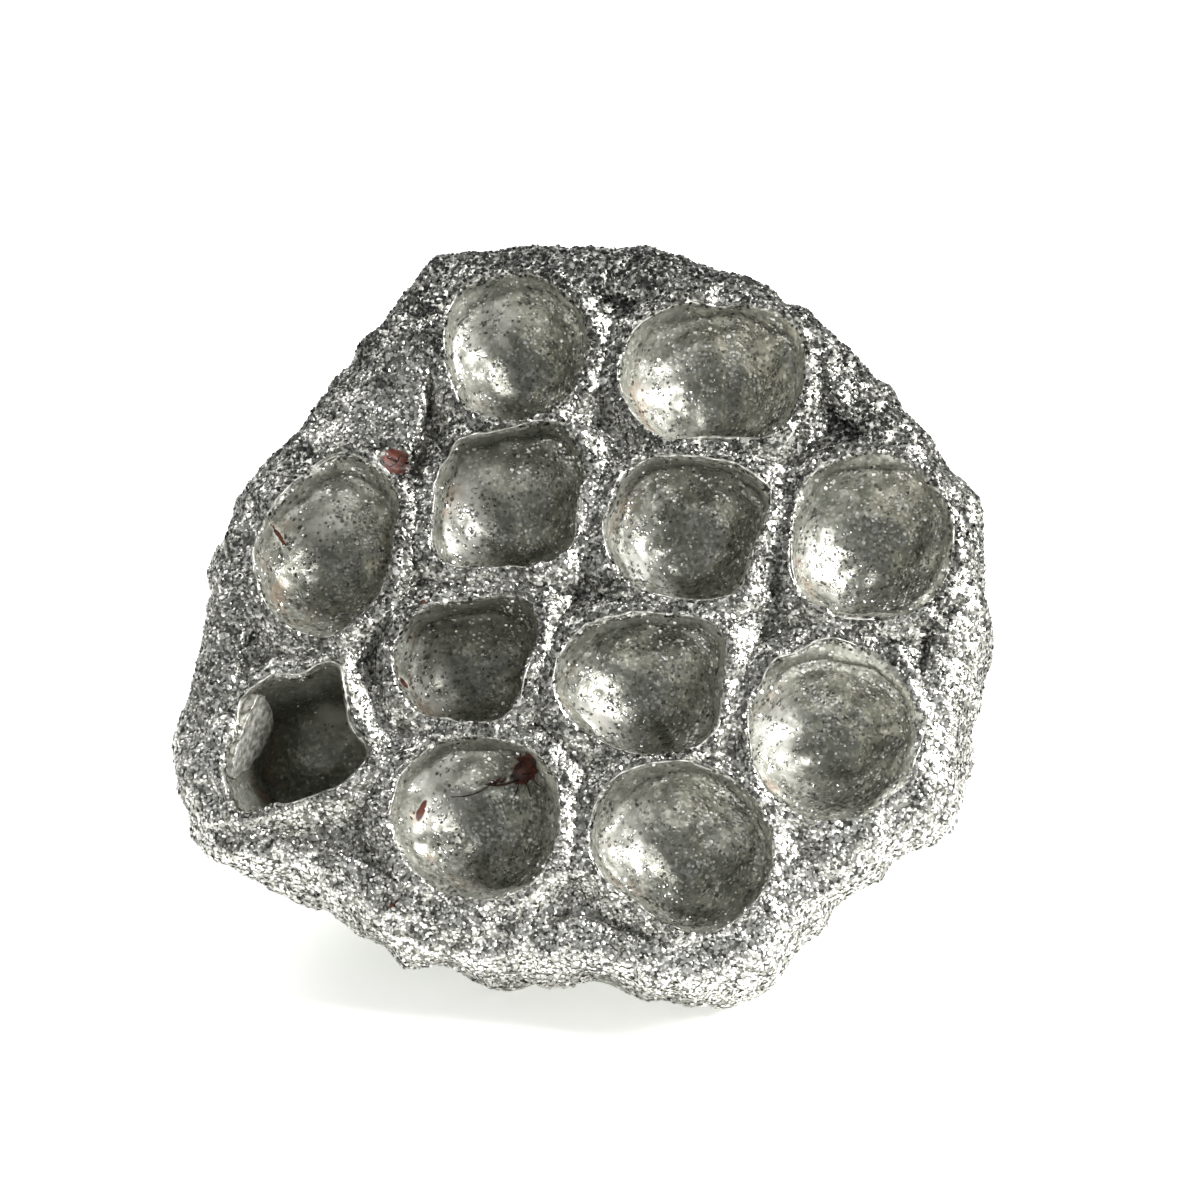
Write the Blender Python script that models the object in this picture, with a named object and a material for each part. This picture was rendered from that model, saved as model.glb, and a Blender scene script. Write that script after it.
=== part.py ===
"""A dried lotus pod: the empty seed head of a lotus with a short stub of its stem.

The pod grew as one piece, so it is one solid: a lobed, funnel-shaped body whose flat face holds
twelve open seed sockets. It lies on its side, on two lobes of its side and the end of the stem.

The pod is drawn in its own axes, in millimetres: x to the right and y up across the face, z out of
the face. It is then turned to the way it lies and set down with the middle of its box over the origin.
"""

import math

import bmesh
import bpy
import numpy as np
from mathutils import Matrix

MM = 0.001

# The face: its outline as (angle in degrees, radius), one point for each lobe and each dent.
RIM = [
    (2, 39.8), (15, 40.1), (30, 38.8), (45, 37.6), (60, 38.5), (75, 38.0), (90, 38.0), (104, 39.4),
    (117, 39.7), (130, 36.6), (145, 34.9), (160, 36.5), (180, 37.8), (193, 40.0), (204, 43.2),
    (214, 43.4), (227, 38.2), (240, 37.0), (256, 36.4), (273, 34.8), (286, 38.4), (298, 40.2),
    (311, 37.6), (323, 38.8), (334, 41.0), (347, 39.4),
]
FACE_DOME = 1.4  # how far the middle of the face stands above its edge
SHOULDER = 5.0  # width of the rounded edge between the face and the side
SHOULDER_DROP = 3.6
BARE_SHOULDER = 6.5  # extra width where no socket sits beside the edge
BARE_ANGLE = 138.0
BARE_SPREAD = 17.0

# The side: (depth below the face, share of the rim's radius), down to the neck.
SIDE = [(3.6, 1.0), (9.0, 0.975), (15.5, 0.905), (22.5, 0.775), (29.0, 0.60), (35.0, 0.405), (40.0, 0.225)]
LOBE_FADE = 34.0  # depth at which the lobes have melted into a round neck

# The stem stub, below the neck: (depth, radius).
STEM = [(43.5, 4.6), (46.5, 3.7), (50.0, 3.6), (52.6, 4.1), (53.6, 3.9)]

# The seed sockets: name, centre x and y, half width, half height, turn in degrees, squareness, depth.
# Squareness 2 is an ellipse, and more is a rounded box.
SOCKETS = [
    ("top_left", -7.9, 26.7, 7.4, 8.0, -8, 2.2, 7.5),
    ("top_right", 11.9, 24.9, 9.2, 6.9, -4, 2.3, 7.5),
    ("left", -25.5, 6.1, 6.8, 9.6, -14, 2.3, 8.5),
    ("upper_mid_left", -7.8, 11.3, 7.5, 6.9, 3, 2.9, 9.5),
    ("upper_mid_right", 10.2, 9.2, 7.8, 7.1, -3, 2.8, 9.0),
    ("right", 28.0, 8.5, 7.7, 8.1, 6, 2.2, 7.0),
    ("low_left", -27.5, -13.5, 6.2, 8.4, -37, 2.3, 15.0),
    ("lower_mid_left", -11.4, -5.4, 6.9, 5.9, 6, 2.8, 10.0),
    ("lower_mid_right", 6.2, -6.7, 8.0, 6.4, -2, 3.0, 9.0),
    ("low_right", 25.4, -11.1, 8.3, 8.9, 6, 2.2, 7.0),
    ("bottom_left", -9.2, -20.4, 8.2, 7.8, 4, 2.3, 8.0),
    ("bottom_right", 11.2, -22.9, 9.0, 7.9, -24, 2.3, 7.5),
]
SOCKET_ROUND = 2.5  # how box-like a socket's lengthways section is
SOCKET_FOCUS = 240.0  # every socket points at one spot on the axis, this far below the face
CUTTER_ABOVE = 6.0  # how far a cutter stands above the face

# The way it lies: leant back about x, after a turn about its own axis.
LEAN = 51.7
TURN = 1.7

AROUND = 72  # points around the body
SOCKET_AROUND = 24


def smooth_curve(points, at, period=None):
    """Values at the places `at` on a smooth curve through (place, value) points, closed if it has a period."""
    x, y = np.array(points, float).T
    if period:
        x = np.concatenate([x[-2:] - period, x, x[:2] + period])
        y = np.concatenate([y[-2:], y, y[:2]])
    slope = np.gradient(y, x)
    at = np.mod(at - x[1], period) + x[1] if period else np.clip(at, x[0], x[-1])
    i = np.clip(np.searchsorted(x, at, side="right") - 1, 0, len(x) - 2)
    width = x[i + 1] - x[i]
    t = (at - x[i]) / width
    return (
        (1 + 2 * t) * (1 - t) ** 2 * y[i]
        + t * (1 - t) ** 2 * width * slope[i]
        + t * t * (3 - 2 * t) * y[i + 1]
        + t * t * (t - 1) * width * slope[i + 1]
    )


def ring(angle, radius, height):
    """One outline of a loft: points at these angles, radii and heights."""
    height = np.broadcast_to(height, angle.shape)
    return np.stack([radius * np.cos(angle), radius * np.sin(angle), height], axis=1)


def body_rings():
    """The body's outlines, from the middle of the face, over the shoulder and down the side to the stem's end."""
    angle = np.linspace(0, 2 * math.pi, AROUND, endpoint=False)
    degrees = np.degrees(angle)
    rim = smooth_curve(RIM, degrees, 360)
    bare = np.exp(-(((degrees - BARE_ANGLE) / BARE_SPREAD) ** 2))
    shoulder = SHOULDER + BARE_SHOULDER * bare
    rings = []
    for share in (0.12, 0.4, 0.7, 0.9, 1.0):
        rings.append(ring(angle, share * (rim - shoulder), FACE_DOME * (1 - share**2)))
    for quarter in np.radians([25, 50, 72]):
        rings.append(ring(angle, rim - shoulder * (1 - math.sin(quarter)), -SHOULDER_DROP * (1 - math.cos(quarter))))
    round_radius = rim.mean()
    for depth in (3.6, 7, 11, 15.5, 20, 24.5, 29, 33, 36.5, 40):
        lobed = np.clip(1 - (depth - SIDE[0][0]) / (LOBE_FADE - SIDE[0][0]), 0, 1) ** 0.7
        share = smooth_curve(SIDE, depth)
        rings.append(ring(angle, share * (round_radius + lobed * (rim - round_radius)), -depth))
    for depth, radius in STEM:
        rings.append(ring(angle, np.full(AROUND, radius), -depth))
    return rings


def mouth_radius(angle, half_width, half_height, squareness):
    """The outline of a socket's mouth: a rounded box, as a radius for each angle."""
    across = np.abs(np.cos(angle) / half_width) ** squareness
    up = np.abs(np.sin(angle) / half_height) ** squareness
    return (across + up) ** (-1 / squareness)


def socket_rings(x, y, half_width, half_height, turn, squareness, depth):
    """The outlines of one socket's cutter, from above the face down to its rounded bottom."""
    angle = np.linspace(0, 2 * math.pi, SOCKET_AROUND, endpoint=False)
    mouth = mouth_radius(angle, half_width, half_height, squareness)
    lean = np.array([x, y]) / SOCKET_FOCUS
    rings = []
    for share in (-CUTTER_ABOVE / depth, 0, 0.3, 0.55, 0.74, 0.87, 0.95, 0.99):
        narrowed = (1 - max(share, 0) ** SOCKET_ROUND) ** (1 / SOCKET_ROUND)
        outline = ring(angle + math.radians(turn), mouth * narrowed, -share * depth)
        outline[:, :2] += np.array([x, y]) - lean * share * depth
        rings.append(outline)
    return rings


def loft(name, rings, collection):
    """A closed mesh object through these outlines, capped at both ends."""
    bm = bmesh.new()
    rows = [[bm.verts.new(point * MM) for point in outline] for outline in rings]
    for upper, lower in zip(rows, rows[1:]):
        for i in range(len(upper)):
            bm.faces.new((upper[i - 1], lower[i - 1], lower[i], upper[i]))
    bm.faces.new(rows[0])
    bm.faces.new(reversed(rows[-1]))
    bmesh.ops.recalc_face_normals(bm, faces=bm.faces)
    mesh = bpy.data.meshes.new(name)
    bm.to_mesh(mesh)
    bm.free()
    obj = bpy.data.objects.new(name, mesh)
    collection.objects.link(obj)
    return obj


def silver_paint():
    """Silver craft paint over the dry pod, dulled by glitter and dust."""
    material = bpy.data.materials.new("silver_paint")
    material.use_nodes = True
    shader = material.node_tree.nodes["Principled BSDF"]
    shader.inputs["Base Color"].default_value = (0.33, 0.33, 0.30, 1)
    shader.inputs["Metallic"].default_value = 0.7
    shader.inputs["Roughness"].default_value = 0.45
    return material


def new_collection(name):
    collection = bpy.data.collections.new(name)
    bpy.context.scene.collection.children.link(collection)
    return collection


def cut_sockets(body, cutters):
    for name, *size in SOCKETS:
        cutter = loft("cutter_" + name, socket_rings(*size), cutters)
        cutter.hide_render = True
        cutter.display_type = "WIRE"
    cut = body.modifiers.new("sockets", "BOOLEAN")
    cut.operation = "DIFFERENCE"
    cut.operand_type = "COLLECTION"
    cut.collection = cutters
    cut.solver = "EXACT"


def lay_down(body, cutters):
    """Turns everything to the way the pod lies, and sets the body on z = 0 with its box centred on the origin."""
    turned = Matrix.Rotation(math.radians(LEAN), 4, "X") @ Matrix.Rotation(math.radians(TURN), 4, "Z")
    points = np.array([turned @ vertex.co for vertex in body.data.vertices])
    low, high = points.min(axis=0), points.max(axis=0)
    middle = (low + high) / 2
    placed = Matrix.Translation((-middle[0], -middle[1], -low[2])) @ turned
    for obj in [body, *cutters.objects]:
        obj.matrix_world = placed


def main():
    for obj in list(bpy.data.objects):
        bpy.data.objects.remove(obj)
    pod = new_collection("dried_lotus_pod")
    cutters = new_collection("cutters")
    body = loft("lotus_pod", body_rings(), pod)
    body.data.materials.append(silver_paint())
    body.data.shade_smooth()
    body.data.set_sharp_from_angle(angle=math.radians(40))
    cut_sockets(body, cutters)
    lay_down(body, cutters)


main()
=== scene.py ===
# A dried lotus pod, painted silver and dusted with coarse glitter.
# Everything is shaped in the pod's own axes, in millimetres: x to the right and y up across the
# face, z out of the face. place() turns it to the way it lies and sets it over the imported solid.

import math

import bpy
import numpy as np
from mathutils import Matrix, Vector


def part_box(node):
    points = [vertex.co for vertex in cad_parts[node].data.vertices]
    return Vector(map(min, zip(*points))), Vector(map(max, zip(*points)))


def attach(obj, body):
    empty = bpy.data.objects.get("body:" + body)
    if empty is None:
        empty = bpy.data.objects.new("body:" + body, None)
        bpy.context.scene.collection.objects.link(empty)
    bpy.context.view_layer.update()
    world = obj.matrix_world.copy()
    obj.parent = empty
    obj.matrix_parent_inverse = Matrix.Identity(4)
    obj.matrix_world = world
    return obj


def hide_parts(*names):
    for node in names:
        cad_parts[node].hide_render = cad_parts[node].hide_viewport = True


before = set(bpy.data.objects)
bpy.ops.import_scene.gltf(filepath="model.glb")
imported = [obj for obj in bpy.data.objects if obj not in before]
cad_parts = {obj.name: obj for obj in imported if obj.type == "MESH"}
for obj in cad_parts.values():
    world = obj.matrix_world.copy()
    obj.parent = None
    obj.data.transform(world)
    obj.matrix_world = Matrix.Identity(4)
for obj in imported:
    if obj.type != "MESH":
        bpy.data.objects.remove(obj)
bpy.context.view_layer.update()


def linearColour(hexCode):
    # sRGB hex to linear: a straight part near black, a 2.4 power above it
    parts = [int(hexCode[i:i + 2], 16) / 255 for i in (1, 3, 5)]
    return tuple(p / 12.92 if p <= 0.04045 else ((p + 0.055) / 1.055) ** 2.4 for p in parts) + (1.0,)


def smoothCurve(points, at, period=None):
    # cubic Hermite curve through (place, value) points, with each point's slope from its neighbours
    x, y = np.array(points, float).T
    if period:
        x = np.concatenate([x[-2:] - period, x, x[:2] + period])
        y = np.concatenate([y[-2:], y, y[:2]])
    slope = np.gradient(y, x)
    at = np.mod(at - x[1], period) + x[1] if period else np.clip(at, x[0], x[-1])
    i = np.clip(np.searchsorted(x, at, side="right") - 1, 0, len(x) - 2)
    width = x[i + 1] - x[i]
    t = (at - x[i]) / width
    return (
        (1 + 2 * t) * (1 - t) ** 2 * y[i]
        + t * (1 - t) ** 2 * width * slope[i]
        + t * t * (3 - 2 * t) * y[i + 1]
        + t * t * (t - 1) * width * slope[i + 1]
    )


def easeStep(low, high, value):
    # 0 below low, 1 above high, an S-curve between
    t = np.clip((value - low) / (high - low), 0, 1)
    return t * t * (3 - 2 * t)


def bell(away, width):
    # 1 in the middle, falling off on both sides as a bell curve
    return np.exp(-(away / width) ** 2)


def angleAway(angle, middle):
    # difference of two angles in degrees, from -180 to 180
    return np.mod(angle - middle + 180, 360) - 180


def latticeNoise(points, cell, seed=0):
    # random values on a lattice of this cell size, blended by an S-curve, from -1 to 1
    scaled = np.asarray(points, float) / cell
    corner = np.floor(scaled).astype(np.int64)
    part = scaled - corner
    part = part * part * (3 - 2 * part)
    total = np.zeros(len(scaled))
    for dx in (0, 1):
        for dy in (0, 1):
            for dz in (0, 1):
                mixed = (corner[:, 0] + dx) * 73856093 ^ (corner[:, 1] + dy) * 19349663
                mixed ^= (corner[:, 2] + dz) * 83492791 ^ (seed + 1) * 2654435761
                mixed = (mixed ^ (mixed >> 13)) * 1274126177
                value = ((mixed ^ (mixed >> 16)) & 0xFFFF) / 32767.5 - 1
                near = [p if d else 1 - p for p, d in zip(part.T, (dx, dy, dz))]
                total += value * near[0] * near[1] * near[2]
    return total


def layeredNoise(points, cell, layers, seed=0):
    # each layer has half the size and half the height of the one before
    return sum(latticeNoise(points, cell / 2**k, seed + k) / 2**k for k in range(layers))


def roundNoise(angle, cell, seed):
    # noise along a circle of radius 1, so that it closes on itself
    circle = np.stack([np.cos(angle), np.sin(angle), np.zeros_like(angle)], -1).reshape(-1, 3)
    return latticeNoise(circle, cell, seed).reshape(np.shape(angle))


def buildMesh(name, points, triangles, **values):
    # a mesh object from whole arrays; each extra value becomes a float attribute of the points
    mesh = bpy.data.meshes.new(name)
    mesh.vertices.add(len(points))
    mesh.vertices.foreach_set("co", np.ascontiguousarray(points, np.float32).ravel())
    mesh.loops.add(3 * len(triangles))
    mesh.loops.foreach_set("vertex_index", np.ascontiguousarray(triangles, np.int32).ravel())
    mesh.polygons.add(len(triangles))
    mesh.polygons.foreach_set("loop_start", np.arange(0, 3 * len(triangles), 3, dtype=np.int32))
    mesh.update(calc_edges=True)
    for key, array in values.items():
        attribute = mesh.attributes.new(key, "FLOAT", "POINT")
        attribute.data.foreach_set("value", np.ascontiguousarray(array, np.float32))
    mesh.shade_smooth()
    piece = bpy.data.objects.new(name, mesh)
    bpy.context.scene.collection.objects.link(piece)
    return piece


def unitLength(vectors):
    return vectors / np.linalg.norm(vectors, axis=-1, keepdims=True)


def relief(points, setting, layers, seed):
    # layered noise from a (height, cell size) setting
    height, cell = setting
    return height * layeredNoise(points, cell, layers, seed)


def pointNormals(points, triangles):
    # the sum of the touching triangles' normals, each weighed by its area
    a, b, c = points[triangles[:, 0]], points[triangles[:, 1]], points[triangles[:, 2]]
    cross = np.cross(b - a, c - a)
    total = np.zeros_like(points)
    for k in range(3):
        for axis in range(3):
            total[:, axis] += np.bincount(triangles[:, k], cross[:, axis], len(points))
    return total / np.maximum(np.linalg.norm(total, axis=1, keepdims=True), 1e-12)


def sweptPoints(centres, sideways, upward, section):
    # carries a section of (sideways, upward) offsets along a path of centres
    return centres[:, None] + section[..., :1] * sideways[:, None] + section[..., 1:] * upward[:, None]


def sweptTriangles(rows, columns, ring):
    # two triangles for each cell of a tube; a ring joins its ends, any other tube has a fan at each
    i, j = np.meshgrid(np.arange(rows if ring else rows - 1), np.arange(columns), indexing="ij")
    a, b = i * columns + j, i * columns + (j + 1) % columns
    d, c = (i + 1) % rows * columns + j, (i + 1) % rows * columns + (j + 1) % columns
    walls = np.concatenate([np.stack([a, b, c], -1).reshape(-1, 3), np.stack([a, c, d], -1).reshape(-1, 3)])
    if ring:
        return walls
    k = np.arange(1, columns - 1)
    fan = np.stack([np.zeros_like(k), k + 1, k], -1)
    return np.concatenate([walls, fan, fan[:, ::-1] + (rows - 1) * columns])


def addNode(tree, kind, feeds=None, **settings):
    # adds one node: settings are its own properties, feeds are its inputs, as values or as links;
    # the setting stops, for a colour ramp, is its (place, hex) pairs
    node = tree.nodes.new(kind)
    stops = settings.pop("stops", ())
    for index, (at, hexCode) in enumerate(stops):
        elements = node.color_ramp.elements
        stop = elements[index] if index < 2 else elements.new(at)
        stop.position, stop.color = at, linearColour(hexCode)
    for key, value in settings.items():
        setattr(node, key, value)
    for key, value in (feeds or {}).items():
        if isinstance(value, bpy.types.NodeSocket):
            tree.links.new(value, node.inputs[key])
        else:
            node.inputs[key].default_value = value
    return node


podForm = {
    # outline of the face as (angle in degrees, radius): a point for each lobe and each dent
    "rim": [
        (2, 39.8), (15, 40.1), (30, 38.8), (45, 37.6), (60, 38.5), (75, 38.0), (90, 38.0), (104, 39.4),
        (117, 39.7), (130, 36.6), (145, 34.9), (160, 36.5), (180, 37.8), (193, 40.0), (204, 43.2),
        (214, 43.4), (227, 38.2), (240, 37.0), (256, 36.4), (273, 34.8), (286, 38.4), (298, 40.2),
        (311, 37.6), (323, 38.8), (334, 41.0), (347, 39.4),
    ],
    "dome": 1.4,  # the middle of the face above its edge
    "shoulder": 5.0,  # width of the rounded edge, and how far it drops
    "shoulderDrop": 3.6,
    "bareShoulder": 6.5,  # more width where no socket sits beside the edge
    "bareAngle": 138.0,
    "bareSpread": 17.0,
    # the side as (depth below the face, share of the rim's radius)
    "side": [
        (3.6, 1.0), (9.0, 0.975), (15.5, 0.905), (22.5, 0.775), (29.0, 0.60), (35.0, 0.405), (40.0, 0.225)],
    "lobeFade": 34.0,  # depth at which the lobes are gone
    # the stem as (depth, radius)
    "stem": [(43.5, 4.6), (46.5, 3.7), (50.0, 3.6), (52.6, 4.1), (53.6, 3.9)],
    "lean": 51.7,  # the way it lies, in degrees
    "turn": 1.7,
    "press": 0.0003,  # metres above the floor where the underside begins to flatten
}

# each socket: x, y, depth, how much of the depth is its steep collar, and its mouth as (angle, radius)
sockets = {
    "topLeft": (-7.9, 26.7, 6.9, 0.34, [
        (0, 7.3), (45, 7.6), (90, 7.8), (135, 8.4), (180, 7.4), (225, 7.6), (270, 7.7), (315, 7.6)]),
    "topRight": (11.9, 24.9, 7.5, 0.38, [
        (0, 9.2), (35, 9.3), (90, 7.0), (140, 8.8), (180, 9.5), (215, 9.2), (270, 6.8), (325, 9.0)]),
    "left": (-25.5, 6.1, 7.8, 0.40, [
        (5, 7.0), (45, 9.0), (75, 9.5), (130, 7.0), (195, 7.6), (235, 8.7), (268, 9.4), (305, 8.0)]),
    "upperMidLeft": (-7.8, 11.3, 7.4, 0.42, [
        (0, 7.3), (50, 9.2), (90, 7.2), (140, 7.6), (190, 7.6), (225, 9.0), (270, 7.0), (312, 8.3)]),
    "upperMidRight": (10.2, 9.2, 6.9, 0.38, [
        (19, 8.5), (48, 8.0), (92, 6.8), (130, 8.2), (167, 8.1), (218, 8.5), (261, 7.5), (306, 8.2),
        (350, 7.1)]),
    "right": (28.0, 8.5, 7.0, 0.32, [
        (0, 8.2), (45, 8.4), (95, 8.8), (133, 8.7), (178, 7.7), (223, 8.7), (270, 8.2), (313, 8.8)]),
    "lowLeft": (-27.5, -13.5, 15.0, 0.80, [
        (12, 6.1), (47, 7.0), (62, 8.5), (84, 6.9), (112, 6.6), (140, 6.9), (172, 6.3), (213, 8.1),
        (236, 9.1), (262, 6.7), (300, 6.1), (334, 7.2), (352, 7.5)]),
    "lowerMidLeft": (-11.4, -5.4, 7.8, 0.50, [
        (0, 6.9), (43, 9.3), (78, 6.7), (137, 6.9), (180, 6.9), (225, 6.5), (264, 5.9), (320, 7.1)]),
    "lowerMidRight": (6.2, -6.7, 6.9, 0.38, [
        (0, 8.4), (38, 9.6), (70, 7.4), (100, 6.8), (150, 8.0), (200, 8.2), (242, 6.9), (305, 8.2),
        (332, 9.0)]),
    "lowRight": (25.4, -11.1, 7.0, 0.22, [
        (0, 8.5), (50, 9.1), (92, 9.3), (130, 9.1), (180, 8.4), (230, 8.4), (277, 8.8), (315, 8.5)]),
    "bottomLeft": (-9.2, -20.4, 7.0, 0.36, [
        (0, 8.5), (42, 8.8), (90, 7.8), (130, 8.4), (180, 8.4), (224, 8.1), (270, 8.3), (315, 8.7)]),
    "bottomRight": (11.2, -22.9, 7.5, 0.38, [
        (6, 9.1), (48, 8.6), (98, 8.6), (134, 9.4), (168, 9.4), (194, 8.5), (231, 6.9), (292, 8.7),
        (325, 8.9)]),
}

socketForm = {
    "focus": 240.0,  # every socket points at one spot this far below the face
    "ripple": 0.007,  # small unevenness of the mouths, as a share of their size
    "lipRise": 0.75,  # the mouth's raised edge
    "lipWidth": 1.0,
    "neck": 0.87,  # radius at the foot of the collar, as a share of the mouth's
    "collarPart": 0.42,  # part of the wall's parameter that belongs to the collar
    "dishAngle": 58.0,  # slope of the dish at its edge, in degrees, before it is stretched to its depth
    "rounding": 0.55,  # how far the dish's outline has left the mouth's for a circle
}


def rimRadius(angle):
    return smoothCurve(podForm["rim"], np.degrees(angle), 360)


def shoulderWidth(angle):
    # a little wider around the bare angle, as a bell curve
    away = angleAway(np.degrees(angle), podForm["bareAngle"])
    return podForm["shoulder"] + podForm["bareShoulder"] * bell(away, podForm["bareSpread"])


def faceHeight(x, y):
    # a shallow dome out to the shoulder, then a quarter ellipse down to the rim
    angle, reach = np.arctan2(y, x), np.hypot(x, y)
    rim, shoulder = rimRadius(angle), shoulderWidth(angle)
    inner = rim - shoulder
    across = np.clip((reach - inner) / shoulder, 0, 1)
    dome = podForm["dome"] * (1 - np.clip(reach / inner, 0, 1) ** 2)
    return dome - podForm["shoulderDrop"] * (1 - np.sqrt(1 - across**2))


meanRim = rimRadius(np.linspace(0, 2 * math.pi, 360, endpoint=False)).mean()
meridian = [(d, s * meanRim) for d, s in podForm["side"]] + podForm["stem"]
stemEnd = podForm["stem"][-1][0]


def sideRadius(angle, depth):
    # the mean meridian, with the rim's lobes melting away as it goes down
    start = podForm["side"][0][0]
    lobed = np.clip(1 - (depth - start) / (podForm["lobeFade"] - start), 0, 1) ** 0.7
    return smoothCurve(meridian, depth) * (1 + lobed * (rimRadius(angle) / meanRim - 1))


def turnToRest(points):
    # about z by the turn, then about x by the lean
    lean, turn = math.radians(podForm["lean"]), math.radians(podForm["turn"])
    aboutZ = np.array([[math.cos(turn), -math.sin(turn), 0], [math.sin(turn), math.cos(turn), 0], [0, 0, 1]])
    aboutX = np.array([[1, 0, 0], [0, math.cos(lean), -math.sin(lean)], [0, math.sin(lean), math.cos(lean)]])
    return points @ (aboutX @ aboutZ).T


def plainOutline():
    # the smooth body's rings, only to find where it lies
    angle = np.linspace(0, 2 * math.pi, 84, endpoint=False)
    depths = np.array([3.6, 6.5, 10, 14, 18, 22, 26, 30, 33.5, 37, 40, 43.5, 46.5, 50, 52.6, 53.6])
    a, d = np.meshgrid(angle, depths)
    r = sideRadius(a, d)
    side = np.stack([r * np.cos(a), r * np.sin(a), -d], -1).reshape(-1, 3)
    reach = rimRadius(angle) - shoulderWidth(angle) * 0.3
    x, y = reach * np.cos(angle), reach * np.sin(angle)
    return np.concatenate([side, np.stack([x, y, faceHeight(x, y)], -1)])


turned = turnToRest(plainOutline())
solidLow, solidHigh = [np.array(corner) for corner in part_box("lotus_pod")]
unit = (solidHigh[0] - solidLow[0]) / np.ptp(turned[:, 0])  # metres to a millimetre of the form
shift = (solidLow + solidHigh) / 2 - unit * (turned.min(0) + turned.max(0)) / 2
print("unit", unit, "shift", shift)


def place(points):
    # to metres, as it lies; what would dip under the floor is pressed flat just above it
    placed = turnToRest(points) * unit + shift
    press = podForm["press"]
    flat = press * np.exp(np.minimum(placed[:, 2] - press, 0) / press)
    placed[:, 2] = np.where(placed[:, 2] < press, flat, placed[:, 2])
    return placed


def nameSeed(name):
    return len(name) * 31 + ord(name[-1]) + 3 * ord(name[0])


def mouthRadius(angle, name):
    # the mouth's outline as a smooth closed curve, with a few small waves around it
    waves = np.random.default_rng(nameSeed(name))
    uneven = sum(waves.normal() * np.cos(k * angle + waves.uniform(0, 6.3)) for k in range(5, 12, 2))
    return smoothCurve(sockets[name][4], np.degrees(angle), 360) * (1 + socketForm["ripple"] * uneven)


def lipWave(name, angle):
    # how high the mouth's edge stands, rising and falling around it
    return 0.65 + 0.5 * roundNoise(angle, 0.55, nameSeed(name))


def mouthEdge(name, angle):
    # the mouth's edge in space: its outline on the face, raised by the lip
    x, y = sockets[name][:2]
    mouth = mouthRadius(angle, name)
    px, py = x + mouth * np.cos(angle), y + mouth * np.sin(angle)
    return np.stack([px, py, faceHeight(px, py) + socketForm["lipRise"] * lipWave(name, angle)], -1)


def bowlSection(name, t):
    # shares of the mouth's radius and of the depth along the wall: a collar that narrows to the neck,
    # then a dish that is an arc of a circle, down to the middle
    collar = sockets[name][3]
    part, neck, steep = socketForm["collarPart"], socketForm["neck"], math.radians(socketForm["dishAngle"])
    above = np.clip(t / part, 0, 1)
    arc = steep * (1 - np.clip((t - part) / (1 - part), 0, 1))
    radius = np.where(t < part, 1 - (1 - neck) * above**0.75, neck * np.sin(arc) / math.sin(steep))
    fallen = (np.cos(arc) - math.cos(steep)) / (1 - math.cos(steep))
    return radius, np.where(t < part, collar * above, collar + (1 - collar) * fallen)


def meanRadius(name):
    return np.mean([radius for _, radius in sockets[name][4]])


def bowlPoint(name, angle, t):
    # from the mouth (t = 0) to the bottom (t = 1), while the middle leans towards the focus
    x, y, depth = sockets[name][:3]
    radius, down = bowlSection(name, t)
    mouth = mouthRadius(angle, name)
    rounded = socketForm["rounding"] * easeStep(0, socketForm["collarPart"] * 1.5, t)
    outline = mouth + (meanRadius(name) - mouth) * rounded
    middle = 1 - down * depth / socketForm["focus"]
    edge = mouthEdge(name, angle)[..., 2]
    return np.stack([
        x * middle + outline * radius * np.cos(angle),
        y * middle + outline * radius * np.sin(angle),
        edge * (1 - t) ** 3 - down * depth,
    ], -1)


def wallTable(name):
    # distance along the wall from the mouth, in millimetres, against its parameter
    t = np.linspace(0, 1, 400)
    radius, down = bowlSection(name, t)
    steps = np.hypot(np.diff(radius * meanRadius(name)), np.diff(down * sockets[name][2]))
    return np.concatenate([[0], np.cumsum(steps)]), t


bodyMake = {
    "cells": 250,  # cells along each side of the square that becomes the face
    "shoulderStart": 0.84,  # share of the grid's radius where the shoulder begins
    "snap": 0.17,  # points this close to a mouth are drawn onto it
    "rowStep": 0.70,  # between the rings of the side
    "halvings": [0.0, 40.0, 52.0],  # distances down the side where every other point is dropped
    "endRings": 14,  # rings across the stem's cut end, and the distance between them
    "endStep": 0.28,
}

crustMake = {
    "lumps": (0.43, 4.2),  # height and cell size, in millimetres
    "grains": (0.24, 1.5),
    "grit": (0.10, 0.7),
    "rimLumps": (1.1, 3.8),
    "webHollow": 1.6,  # how far the face sinks between far-apart sockets
}

bowlMake = {
    "dents": (0.55, 6.5),
    "lumps": (0.24, 2.1),
    "streaks": (0.09, 0.16, 0.3),  # height, then cell size around (radians) and along (of the wall)
    "seam": (0.42, 0.50),  # depth and width of the groove between the collar and the dish
    "pit": (0.55, 1.5),  # depth and radius of the hollow where the seed was joined
    "radius": 8.0,  # of a usual bowl
    # how strong the painted shade is on each bowl's upper wall, under the collar
    "upperWallShade": {"topLeft": 0.45, "topRight": 0.35, "left": 0.45, "upperMidLeft": 0.9, "upperMidRight": 0.85,
                  "right": 0.3, "lowLeft": 0.6, "lowerMidLeft": 1.0, "lowerMidRight": 0.75, "lowRight": 0.1,
                  "bottomLeft": 0.8, "bottomRight": 0.4},
    # painted highlight: the angle of the wall where the key light's highlight falls, painted pale and white
    "highlightWall": {"topLeft": 145, "topRight": 190, "left": 115, "upperMidLeft": 185, "upperMidRight": 218,
                   "right": 200, "lowLeft": 90, "lowerMidLeft": 185, "lowerMidRight": 212, "lowRight": 182,
                   "bottomLeft": 150, "bottomRight": 162},
    "highlightReach": (0.60, 0.19, 44.0),  # where it lies along the wall, its spread there, and in degrees
}

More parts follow.
